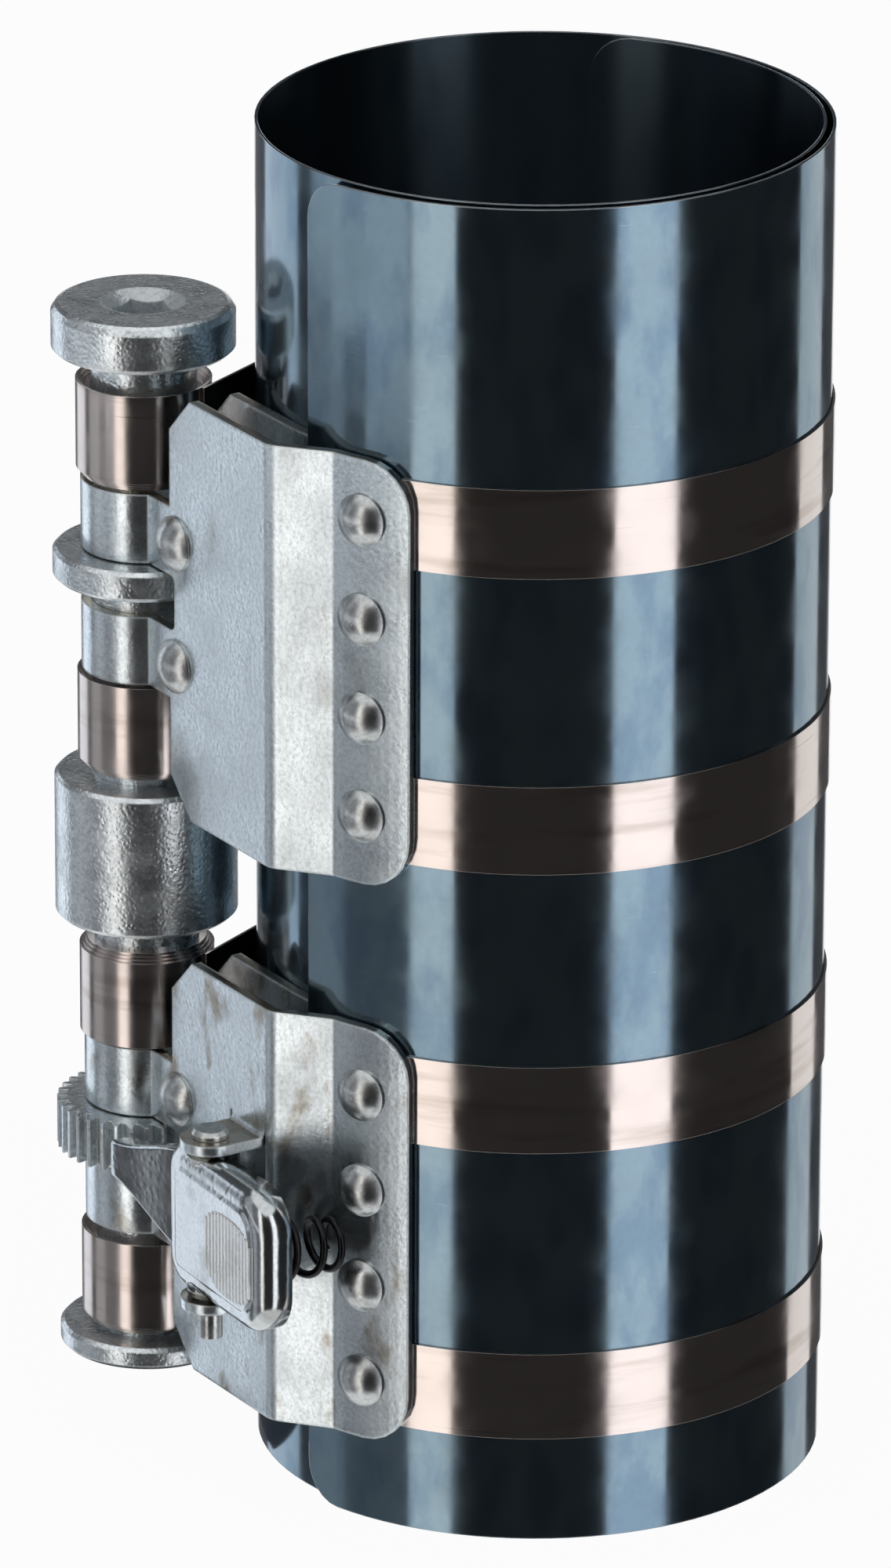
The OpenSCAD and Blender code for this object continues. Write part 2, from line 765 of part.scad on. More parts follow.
// Saw teeth with their steep face on the counter-clockwise side, one of them just clear of the pawl's nose
module ratchet_wheel() {
    pitch = 360 / teeth;
    root = head_r - tooth_h;
    first = leg_a + steep_a;
    color(dull_zinc)
        translate([-spindle_d, 0, wheel_z])
            difference() {
                linear_extrude(wheel_h)
                    polygon([for (i = [0:teeth - 1]) let (steep = first + i * pitch)
                        each [head_r * unit(steep - land_deg), head_r * unit(steep),
                            root * unit(steep), root * unit(steep + land_deg)]]);
                translate([0, 0, -1])
                    cylinder(r = coil_bore, h = wheel_h + 2);
            }
}

// Band wound on the spindle, with its outer layers crept sideways
module wound_band(i) {
    color(bright)
        translate([-spindle_d, 0, band_z[i] - band_w / 2])
            rotate_extrude() {
                for (k = [0:crept_layers - 1])
                    translate([coil_r - (k + 1) * band_t, creep_way[i] * k * creep])
                        square([band_t, band_w]);
                translate([coil_bore, creep_way[i] * crept_layers * creep])
                    square([(layers - crept_layers) * band_t, band_w]);
            }
}

module wound_band_1() { wound_band(0); }
module wound_band_2() { wound_band(1); }
module wound_band_3() { wound_band(2); }
module wound_band_4() { wound_band(3); }

sleeve();
tension_band_1();
tension_band_2();
tension_band_3();
tension_band_4();
upper_bracket();
lower_bracket();
upper_flange_rivets();
lower_flange_rivets();
upper_ear_rivets();
lower_ear_rivets();
pawl_pin();
pawl_spring();
pawl_lever();
spindle_shaft();
spacer_ring();
centre_collar();
ratchet_wheel();
end_flange();
wound_band_1();
wound_band_2();
wound_band_3();
wound_band_4();
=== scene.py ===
"""Looks of a piston ring compressor: a blued sleeve, four bright bands and a ratcheted spindle in two brackets."""

from __future__ import annotations

import logging
import math
from dataclasses import dataclass, field, replace
from enum import Enum

import bmesh
import bpy
from mathutils import Matrix, Vector


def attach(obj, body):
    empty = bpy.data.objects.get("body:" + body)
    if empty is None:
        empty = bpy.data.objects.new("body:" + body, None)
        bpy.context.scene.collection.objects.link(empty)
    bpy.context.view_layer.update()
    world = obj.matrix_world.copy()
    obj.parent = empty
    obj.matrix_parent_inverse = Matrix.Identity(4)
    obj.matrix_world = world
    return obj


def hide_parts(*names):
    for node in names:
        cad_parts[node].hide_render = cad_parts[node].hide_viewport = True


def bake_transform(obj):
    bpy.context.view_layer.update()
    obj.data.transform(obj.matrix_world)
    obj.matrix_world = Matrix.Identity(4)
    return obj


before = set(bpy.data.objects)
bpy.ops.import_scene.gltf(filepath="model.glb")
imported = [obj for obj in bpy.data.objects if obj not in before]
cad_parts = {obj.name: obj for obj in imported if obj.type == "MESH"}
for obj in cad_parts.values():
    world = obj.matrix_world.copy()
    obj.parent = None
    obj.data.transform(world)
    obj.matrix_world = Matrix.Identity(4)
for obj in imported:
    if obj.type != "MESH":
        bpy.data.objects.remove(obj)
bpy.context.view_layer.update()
LOG = logging.getLogger("compressor")
MM = 0.001
# Place of the spindle's axis on x, in millimetres
SPINDLE_X = -46.8

# Sockets of the Mix node that are in use when it mixes colours
MIX_SHARE, MIX_UNDER, MIX_OVER, MIX_RESULT = 0, 6, 7, 2
# Values of noise between which each kind of wear sets in, and how far a full share lowers them
STAIN_FROM, STAIN_TO, STAIN_REACH = 0.62, 0.82, 0.3
SCRATCH_FROM, SCRATCH_TO, SCRATCH_REACH = 0.74, 0.80, 0.2
GRAIN_FROM, GRAIN_TO = 0.42, 0.68
SMUDGE_FROM, SMUDGE_TO = 0.35, 0.68
DENT_FROM, DENT_TO = 0.1, 0.5
# Finer octaves in each kind of noise
STAIN_DETAIL, FINE_DETAIL, SMUDGE_DETAIL = 5.0, 2.0, 6.0
# Cosine between the rounded and the true normal, from a plain face to a rubbed edge
FACE_COSINE, RUBBED_COSINE = 0.995, 0.90
# Upright part of the normal where a sheared edge begins and is whole, and the share of its colour there
SHEARED_FROM, SHEARED_TO, SHEARED_SHARE = 0.85, 0.97, 0.6
BEVEL_SAMPLES = 4
# Grey of the pits between the grains of a plating
PIT_GREY = "#4b5154"
# The key socket's plating: how metallic it is, and over how many millimetres that fades
SOCKET_METALLIC, SOCKET_FADE = 0.35, 0.3
# The sleeve's inner face: colour of its painted shade and that colour's share, strength of the grinding lines, and
# their quarter turn
INNER_SHADE_COLOUR, INNER_SHADE_SHARE, LINE_STRENGTH, QUARTER_TURN = "#232a2f", 0.45, 0.96, 0.25


def linear(hex_colour: str) -> tuple[float, float, float, float]:
    """Turns an sRGB hex colour into the linear colour that a shader takes.

    Args:
        hex_colour: Six hex digits after a hash sign.

    Returns:
        Red, green, blue and an alpha of one.
    """
    parts = [int(hex_colour[i : i + 2], 16) / 255 for i in (1, 3, 5)]
    red, green, blue = (c / 12.92 if c <= 0.04045 else ((c + 0.055) / 1.055) ** 2.4 for c in parts)
    return red, green, blue, 1.0


def add_node(
    tree: bpy.types.NodeTree,
    kind: str,
    settings: dict[str, object] | None = None,
    inputs: dict[str | int, object] | None = None,
) -> bpy.types.Node:
    """Adds one shader node with its settings and what feeds it.

    Args:
        tree: Node tree that the node goes into.
        kind: Blender's name of the node's type.
        settings: Properties of the node by name.
        inputs: Values or output sockets by the input's name or number.

    Returns:
        The new node.
    """
    node = tree.nodes.new(kind)
    for name, value in (settings or {}).items():
        setattr(node, name, value)
    for name, value in (inputs or {}).items():
        if isinstance(value, bpy.types.NodeSocket):
            tree.links.new(value, node.inputs[name])
        else:
            node.inputs[name].default_value = value
    return node


class Relief(Enum):
    """Ways in which a metal surface departs from smooth."""

    PEEL = "soft hills of a plated or rolled skin"
    DENTS = "small round knocks from tumbling"
    LINES = "long fine lines of rolling, turning or rubbing"


RELIEF_DETAIL = {Relief.PEEL: 3.0, Relief.LINES: 1.0}


@dataclass(frozen=True)
class Layer:
    """One layer of relief: its kind, its size along each axis in millimetres, and its depth in millimetres."""

    relief: Relief
    size: tuple[float, float, float]
    depth: float


@dataclass(frozen=True)
class MetalFinish:
    """A metal as it was made and worn: colours, gloss, relief, rubbed edges, sheared edges and painted shade inside,
    with sizes in mm.

    The grain of a plating and the lines of rolling and turning are finer than a tenth of a millimetre on the real
    part. They are drawn at a quarter to half a millimetre or more, because finer ones would only flicker.
    """

    title: str
    slot: str
    base: str
    stain: str
    stain_size: tuple[float, float, float]
    stain_share: float
    rough: tuple[float, float]
    smudge_size: float
    layers: tuple[Layer, ...]
    edge: str
    edge_radius: float
    scratch: str
    scratch_size: tuple[float, float, float]
    scratch_share: float
    cut: str | None = None
    grain_size: float = 0.5
    grain_share: float = 0.0
    metallic: float = 1.0
    # Roughness of an inner face, which then also gets painted shade: its colour is darkened
    inner_rough: float | None = None
    socket_r: float | None = None

    def build(self) -> bpy.types.Material:
        """Makes the node material.

        Returns:
            The new material.
        """
        material = bpy.data.materials.new(self.title)
        material.use_nodes = True
        tree = material.node_tree
        tree.nodes.clear()
        place = add_node(tree, "ShaderNodeTexCoord")
        spot = place.outputs["Object"]
        shader = add_node(
            tree,
            "ShaderNodeBsdfPrincipled",
            inputs={
                "Metallic": self.metallic,
                "Base Color": self._colour(tree, place),
                "Roughness": self._gloss(tree, spot),
                "Normal": self._normal(tree, spot),
            },
        )
        if self.socket_r is not None:
            self._dull_socket(tree, spot, shader)
        # Painted shade on the inner face, together with its brushed gloss
        if self.inner_rough is not None:
            self._brush_and_shade_inside(tree, place, shader)
        add_node(tree, "ShaderNodeOutputMaterial", inputs={"Surface": shader.outputs["BSDF"]})
        return material

    def _dull_socket(
        self, tree: bpy.types.NodeTree, spot: bpy.types.NodeSocket, shader: bpy.types.Node
    ) -> None:
        """Keeps the plating pale and matt in the key socket, which tumbling doesn't reach.

        Args:
            tree: The material's node tree.
            spot: Object coordinates in metres.
            shader: The material's shader.
        """
        axis = (SPINDLE_X * MM, 0, 0)
        beside = add_node(tree, "ShaderNodeVectorMath", {"operation": "SUBTRACT"}, {0: spot, 1: axis})
        flat = add_node(
            tree, "ShaderNodeVectorMath", {"operation": "MULTIPLY"}, {0: beside.outputs[0], 1: (1, 1, 0)}
        )
        away = add_node(tree, "ShaderNodeVectorMath", {"operation": "LENGTH"}, {0: flat.outputs[0]})
        metal = add_node(
            tree,
            "ShaderNodeMapRange",
            inputs={
                "Value": away.outputs["Value"],
                "From Min": (self.socket_r - SOCKET_FADE) * MM,
                "From Max": self.socket_r * MM,
                "To Min": SOCKET_METALLIC,
                "To Max": self.metallic,
            },
        )
        tree.links.new(metal.outputs[0], shader.inputs["Metallic"])

    def _brush_and_shade_inside(self, tree: bpy.types.NodeTree, place: bpy.types.Node, shader: bpy.types.Node) -> None:
        """Gives the inner face painted shade, a darker colour, and grinding lines round the bore, which smear light
        along the axis.

        Args:
            tree: The material's node tree.
            place: The Texture Coordinate node.
            shader: The material's shader, whose colour and roughness are already fed.
        """
        colour = shader.inputs["Base Color"].links[0].from_socket
        rough = shader.inputs["Roughness"].links[0].from_socket
        outward = add_node(
            tree,
            "ShaderNodeVectorMath",
            {"operation": "DOT_PRODUCT"},
            {0: place.outputs["Object"], 1: place.outputs["Normal"]},
        )
        inside = add_node(
            tree, "ShaderNodeMath", {"operation": "LESS_THAN"}, {0: outward.outputs["Value"], 1: 0.0}
        ).outputs[0]
        brushed = add_node(
            tree, "ShaderNodeMapRange", inputs={"Value": inside, "To Min": rough, "To Max": self.inner_rough}
        )
        lines = add_node(tree, "ShaderNodeMath", {"operation": "MULTIPLY"}, {0: inside, 1: LINE_STRENGTH})
        # Painted shade: the inner face's colour is mixed towards a dark grey that stands in for the shade inside the
        # sleeve
        shade_share = add_node(tree, "ShaderNodeMath", {"operation": "MULTIPLY"}, {0: inside, 1: INNER_SHADE_SHARE})
        inner_shade = add_node(
            tree,
            "ShaderNodeMix",
            {"data_type": "RGBA"},
            {MIX_SHARE: shade_share.outputs[0], MIX_UNDER: colour, MIX_OVER: linear(INNER_SHADE_COLOUR)},
        )
        round_axis = add_node(tree, "ShaderNodeTangent", {"direction_type": "RADIAL", "axis": "Z"})
        tree.links.new(inner_shade.outputs[MIX_RESULT], shader.inputs["Base Color"])
        tree.links.new(brushed.outputs[0], shader.inputs["Roughness"])
        tree.links.new(lines.outputs[0], shader.inputs["Anisotropic"])
        tree.links.new(round_axis.outputs[0], shader.inputs["Tangent"])
        shader.inputs["Anisotropic Rotation"].default_value = QUARTER_TURN

    def _noise(
        self,
        tree: bpy.types.NodeTree,
        spot: bpy.types.NodeSocket,
        size: tuple[float, float, float],
        detail: float,
    ) -> bpy.types.NodeSocket:
        """Makes noise with cells of a real size.

        Args:
            tree: The material's node tree.
            spot: Object coordinates in metres.
            size: Size of a cell along each axis in millimetres.
            detail: Finer octaves in the noise.

        Returns:
            The noise's value.
        """
        scale = [1 / (s * MM) for s in size]
        scaled = add_node(tree, "ShaderNodeMapping", inputs={"Vector": spot, "Scale": scale})
        noise = add_node(
            tree, "ShaderNodeTexNoise", inputs={"Vector": scaled.outputs[0], "Scale": 1.0, "Detail": detail}
        )
        return noise.outputs["Fac"]

    def _colour(self, tree: bpy.types.NodeTree, place: bpy.types.Node) -> bpy.types.NodeSocket:
        """Lays stains, grain, scratches, rubbed edges and sheared edges over the base colour.

        Args:
            tree: The material's node tree.
            place: The Texture Coordinate node.

        Returns:
            The colour.
        """
        spot = place.outputs["Object"]
        stain = add_node(
            tree,
            "ShaderNodeMapRange",
            {"interpolation_type": "SMOOTHSTEP"},
            {
                "Value": self._noise(tree, spot, self.stain_size, STAIN_DETAIL),
                "From Min": STAIN_FROM - STAIN_REACH * self.stain_share,
                "From Max": STAIN_TO - STAIN_REACH * self.stain_share,
            },
        )
        pits = add_node(
            tree,
            "ShaderNodeMapRange",
            inputs={
                "Value": self._noise(tree, spot, (self.grain_size,) * 3, FINE_DETAIL),
                "From Min": GRAIN_FROM,
                "From Max": GRAIN_TO,
                "To Max": self.grain_share,
            },
        )
        scratch = add_node(
            tree,
            "ShaderNodeMapRange",
            inputs={
                "Value": self._noise(tree, spot, self.scratch_size, FINE_DETAIL),
                "From Min": SCRATCH_FROM - SCRATCH_REACH * self.scratch_share,
                "From Max": SCRATCH_TO - SCRATCH_REACH * self.scratch_share,
            },
        )
        rounded = add_node(
            tree, "ShaderNodeBevel", {"samples": BEVEL_SAMPLES}, {"Radius": self.edge_radius * MM}
        )
        true = add_node(tree, "ShaderNodeNewGeometry")
        cosine = add_node(
            tree,
            "ShaderNodeVectorMath",
            {"operation": "DOT_PRODUCT"},
            {0: rounded.outputs[0], 1: true.outputs["Normal"]},
        )
        rubbed = add_node(
            tree,
            "ShaderNodeMapRange",
            inputs={"Value": cosine.outputs["Value"], "From Min": FACE_COSINE, "From Max": RUBBED_COSINE},
        )
        coats = [(stain, self.stain), (pits, PIT_GREY), (scratch, self.scratch), (rubbed, self.edge)]
        if self.cut is not None:
            upright = add_node(tree, "ShaderNodeSeparateXYZ", inputs={0: place.outputs["Normal"]})
            height = add_node(tree, "ShaderNodeMath", {"operation": "ABSOLUTE"}, {0: upright.outputs["Z"]})
            sheared = add_node(
                tree,
                "ShaderNodeMapRange",
                inputs={
                    "Value": height.outputs[0],
                    "From Min": SHEARED_FROM,
                    "From Max": SHEARED_TO,
                    "To Max": SHEARED_SHARE,
                },
            )
            coats.append((sheared, self.cut))
        tint = linear(self.base)
        for share, colour in coats:
            tint = add_node(
                tree,
                "ShaderNodeMix",
                {"data_type": "RGBA"},
                {MIX_SHARE: share.outputs[0], MIX_UNDER: tint, MIX_OVER: linear(colour)},
            ).outputs[MIX_RESULT]
        return tint

    def _gloss(self, tree: bpy.types.NodeTree, spot: bpy.types.NodeSocket) -> bpy.types.NodeSocket:
        """Varies the roughness in smudges.

        Args:
            tree: The material's node tree.
            spot: Object coordinates in metres.

        Returns:
            The roughness.
        """
        smudge = add_node(
            tree,
            "ShaderNodeMapRange",
            inputs={
                "Value": self._noise(tree, spot, (self.smudge_size,) * 3, SMUDGE_DETAIL),
                "From Min": SMUDGE_FROM,
                "From Max": SMUDGE_TO,
                "To Min": self.rough[0],
                "To Max": self.rough[1],
            },
        )
        return smudge.outputs[0]

    def _normal(self, tree: bpy.types.NodeTree, spot: bpy.types.NodeSocket) -> bpy.types.NodeSocket:
        """Rounds the edges and lays every layer of relief on them.

        Args:
            tree: The material's node tree.
            spot: Object coordinates in metres.

        Returns:
            The normal.
        """
        normal = add_node(
            tree, "ShaderNodeBevel", {"samples": BEVEL_SAMPLES}, {"Radius": self.edge_radius * MM}
        ).outputs[0]
        for layer in self.layers:
            if layer.relief is Relief.DENTS:
                scale = [1 / (s * MM) for s in layer.size]
                scaled = add_node(tree, "ShaderNodeMapping", inputs={"Vector": spot, "Scale": scale})
                cells = add_node(
                    tree,
                    "ShaderNodeTexVoronoi",
                    {"feature": "SMOOTH_F1"},
                    {"Vector": scaled.outputs[0], "Scale": 1.0},
                )
                height = add_node(
                    tree,
                    "ShaderNodeMapRange",
                    inputs={"Value": cells.outputs["Distance"], "From Min": DENT_FROM, "From Max": DENT_TO},
                ).outputs[0]
            else:
                height = self._noise(tree, spot, layer.size, RELIEF_DETAIL[layer.relief])
            normal = add_node(
                tree,
                "ShaderNodeBump",
                inputs={"Strength": 1.0, "Distance": layer.depth * MM, "Height": height, "Normal": normal},
            ).outputs[0]
        return normal


# Spring steel blued in a furnace and polished by rolling: a glossy steel-blue skin with fine rub lines,
# faint scuffs, bare steel where its rims have rubbed, and an inner face darkened by painted shade
BLUED_SPRING_STEEL = MetalFinish(
    title="Blued_spring_steel_rolled",
    slot="blued_steel",
    base="#7a8f9b",
    stain="#6a8091",
    stain_size=(5, 5, 11),
    stain_share=0.6,
    rough=(0.09, 0.18),
    smudge_size=8,
    layers=(
        Layer(Relief.PEEL, (40, 40, 90), 0.012),
        Layer(Relief.LINES, (0.6, 0.6, 50), 0.0009),
        Layer(Relief.LINES, (40, 40, 0.5), 0.0007),
    ),
    edge="#b4bcc1",
    edge_radius=0.18,
    scratch="#90a2ac",
    scratch_size=(5, 5, 0.3),
    scratch_share=0.02,
    grain_size=0.9,
    grain_share=0.06,
    metallic=0.97,
    inner_rough=0.24,
)
# Bright rolled strip: nearly a mirror, with long wear lines round the band and a warm grey cast
BRIGHT_STRIP_STEEL = MetalFinish(
    title="Bright_strip_steel_rolled",
    slot="band_steel",
    base="#cfc5c0",
    stain="#b8ada6",
    stain_size=(30, 30, 3),
    stain_share=0.35,
    rough=(0.08, 0.17),
    smudge_size=5,
    layers=(Layer(Relief.PEEL, (20, 20, 12), 0.008), Layer(Relief.LINES, (30, 30, 0.35), 0.0010)),
    edge="#e0d9d4",
    edge_radius=0.06,
    scratch="#b0a69e",
    scratch_size=(14, 14, 0.3),
    scratch_share=0.08,
)
# The same strip where it is wound tight on the spindle: rubbed by its own layers, so a little duller
WOUND_STRIP_STEEL = replace(BRIGHT_STRIP_STEEL, title="Bright_strip_steel_wound", rough=(0.16, 0.25))
# Pressed sheet with a zinc plating: satin grey with an orange-peel skin, smudges, and brown sheared edges
PLATED_SHEET_STEEL = MetalFinish(
    title="Zinc_plated_sheet_pressed",
    slot="bracket_zinc",
    base="#e2ebef",
    stain="#c4c9c8",
    stain_size=(9, 9, 14),
    stain_share=0.25,
    rough=(0.23, 0.34),
    smudge_size=7,
    layers=(Layer(Relief.PEEL, (0.7, 0.7, 0.7), 0.022), Layer(Relief.LINES, (16, 16, 0.6), 0.0015)),
    edge="#cdd6da",
    edge_radius=0.5,
    scratch="#dde3e5",
    scratch_size=(12, 12, 0.35),
    scratch_share=0.04,
    cut="#a08c68",
    grain_size=0.45,
    grain_share=0.2,
)
# The same sheet on the pawl's side, which the thumb rubs: a few brown smudges of old oil in the plating
HANDLED_SHEET_STEEL = replace(
    PLATED_SHEET_STEEL,
    title="Zinc_plated_sheet_handled",
    stain="#a79f92",
    stain_size=(4, 4, 7),
    stain_share=0.28,
)
# Snap-headed steel rivets, plated and burnished by the closing tool: smooth satin domes
BURNISHED_RIVET_STEEL = MetalFinish(
    title="Burnished_rivet_steel",
    slot="rivet_steel",
    base="#c9cccc",
    stain="#a9aaa9",
    stain_size=(2.5, 2.5, 2.5),
    stain_share=0.3,
    rough=(0.26, 0.36),
    smudge_size=2,
    layers=(Layer(Relief.PEEL, (1.2, 1.2, 1.2), 0.008), Layer(Relief.DENTS, (1.2, 1.2, 1.2), 0.003)),
    edge="#e0e0de",
    edge_radius=0.2,
    scratch="#dfe0df",
    scratch_size=(0.2, 2.5, 0.2),
    scratch_share=0.1,
    grain_share=0.25,
)
# Turned bar stock, barrel-plated: satin zinc with tool lines round it and the speckle of tumbling
TUMBLED_TURNED_STEEL = MetalFinish(
    title="Tumbled_zinc_turned_steel",
    slot="turned_zinc",
    base="#e8eff2",
    stain="#cbd2d6",
    stain_size=(3.5, 3.5, 3.5),
    stain_share=0.3,
    rough=(0.25, 0.37),
    smudge_size=3,
    layers=(
        Layer(Relief.DENTS, (0.5, 0.5, 0.5), 0.02),
        Layer(Relief.PEEL, (0.4, 0.4, 0.4), 0.03),
        Layer(Relief.LINES, (6, 6, 0.25), 0.0012),
    ),
    edge="#dcdfde",
    edge_radius=0.3,
    scratch="#d5dadb",
    scratch_size=(0.9, 0.9, 0.3),
    scratch_share=0.12,
    grain_share=0.27,
    metallic=0.95,
    socket_r=5.2,
)
# Pressed and barrel-plated thumb lever: bright glossy zinc with small knocks and upright shear streaks
PLATED_LEVER_STEEL = MetalFinish(
    title="Zinc_plated_lever_pressed",
    slot="pawl_zinc",
    base="#c6cbcd",
    stain="#adafae",
    stain_size=(5, 5, 5),
    stain_share=0.25,
    rough=(0.1, 0.2),
    smudge_size=4,
    layers=(Layer(Relief.DENTS, (0.9, 0.9, 0.9), 0.008), Layer(Relief.PEEL, (1.6, 1.6, 1.6), 0.008)),
    edge="#e6e7e5",
    edge_radius=0.3,
    scratch="#dfe2e2",
    scratch_size=(0.3, 0.3, 4),
    scratch_share=0.08,
    grain_share=0.14,
)
# Hard-drawn spring wire, oil-blacked: dark with a dull sheen
OIL_BLACK_WIRE = MetalFinish(
    title="Oil_blacked_spring_wire",
    slot="spring_black",
    base="#2a2b2e",
    stain="#3a3836",
    stain_size=(2, 2, 2),
    stain_share=0.4,
    rough=(0.26, 0.42),
    smudge_size=2,
    layers=(Layer(Relief.PEEL, (0.8, 0.8, 0.8), 0.006),),
    edge="#4a4b4e",
    edge_radius=0.05,
    scratch="#46464a",
    scratch_size=(0.3, 0.3, 0.3),
    scratch_share=0.1,
)


class Body(Enum):
    """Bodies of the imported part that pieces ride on."""

    FRAME = "frame"
    PAWL = "pawl"


@dataclass
class Workshop:
    """Keeps one material for each finish and hands it to the pieces."""

    made: dict[str, bpy.types.Material] = field(default_factory=dict)

    def finish(self, piece: bpy.types.Object, finish: MetalFinish) -> None:
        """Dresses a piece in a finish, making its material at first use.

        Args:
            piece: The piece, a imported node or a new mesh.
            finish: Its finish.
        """
        if finish.title not in self.made:
            self.made[finish.title] = finish.build()
        piece.data.materials.clear()
        piece.data.materials.append(self.made[finish.title])
        LOG.info("%s: %s", piece.name, finish.title)


@dataclass(frozen=True)
class LegFrame:
    """Frame on the spindle's axis: x along the brackets' legs, y to the rear, z from the lower bracket's middle."""

    spindle: float = SPINDLE_X
    turn: float = -51.585
    height: float = 37.1

    def matrix(self) -> Matrix:
        """Gives the move from millimetres in this frame to the part's metres."""
        place = Matrix.Translation((self.spindle * MM, 0, self.height * MM))
        return place @ Matrix.Rotation(math.radians(self.turn), 4, "Z") @ Matrix.Scale(MM, 4)


def make_piece(name: str, shape: bmesh.types.BMesh, place: Matrix) -> bpy.types.Object:
    """Turns a finished bmesh into a smooth-shaded piece with its place in its mesh.

    Args:
        name: Name of the piece.
        shape: The bmesh, which is freed.
        place: Move from the bmesh's own frame to the part's frame.

    Returns:
        The new object.
    """
    bmesh.ops.transform(shape, matrix=place, verts=shape.verts)
    bmesh.ops.recalc_face_normals(shape, faces=shape.faces)
    for side in shape.faces:
        side.smooth = True
    mesh = bpy.data.meshes.new(name)
    shape.to_mesh(mesh)
    shape.free()
    piece = bpy.data.objects.new(name, mesh)
    bpy.context.scene.collection.objects.link(piece)
    return piece


@dataclass
class ReturnSpring:
    """Conical spring between the bracket's flange and the thumb plate, in millimetres in the legs' frame."""

    wire: float = 0.48
    wire_sides: int = 4
    wide_r: float = 4.2
    narrow_r: float = 2.7
    wide_x: float = 40.178
    narrow_x: float = 42.378
    middle: float = -1.05
    turns: float = 4.5
    steps: int = 40
    start_angle: float = 40
    end_close: float = 0.075
    weld: float = 1e-4

    def build(self, shop: Workshop) -> None:
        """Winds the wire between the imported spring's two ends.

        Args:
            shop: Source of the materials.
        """
        leg = LegFrame().matrix()
        back = leg.inverted()
        depth = [(back @ v.co).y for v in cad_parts["pawl_spring"].data.vertices]
        near, far = min(depth) + self.wire, max(depth) - self.wire
        data = bpy.data.curves.new("pawl_return_spring", "CURVE")
        data.dimensions = "3D"
        data.bevel_depth = self.wire
        data.bevel_resolution = self.wire_sides
        data.use_fill_caps = True
        line = data.splines.new("POLY")
        count = int(self.turns * self.steps)
        line.points.add(count)
        for k in range(count + 1):
            share = k / count
            angle = math.tau * self.turns * share + math.radians(self.start_angle)
            # The end coils lie closer together than the middle ones
            along = share - self.end_close * math.sin(math.tau * share)
            radius = self.wide_r + (self.narrow_r - self.wide_r) * share
            x = self.wide_x + (self.narrow_x - self.wide_x) * along + radius * math.cos(angle)
            line.points[k].co = (x, near + (far - near) * along, self.middle + radius * math.sin(angle), 1)
        wound = bpy.data.objects.new("wound", data)
        bpy.context.scene.collection.objects.link(wound)
        bpy.context.view_layer.update()
        shape = bmesh.new()
        shape.from_mesh(wound.evaluated_get(bpy.context.evaluated_depsgraph_get()).to_mesh())
        bpy.data.objects.remove(wound)
        bmesh.ops.remove_doubles(shape, verts=shape.verts, dist=self.weld)
        spring = make_piece("pawl_return_spring", shape, leg)
        shop.finish(spring, OIL_BLACK_WIRE)
        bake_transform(spring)
        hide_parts("pawl_spring")


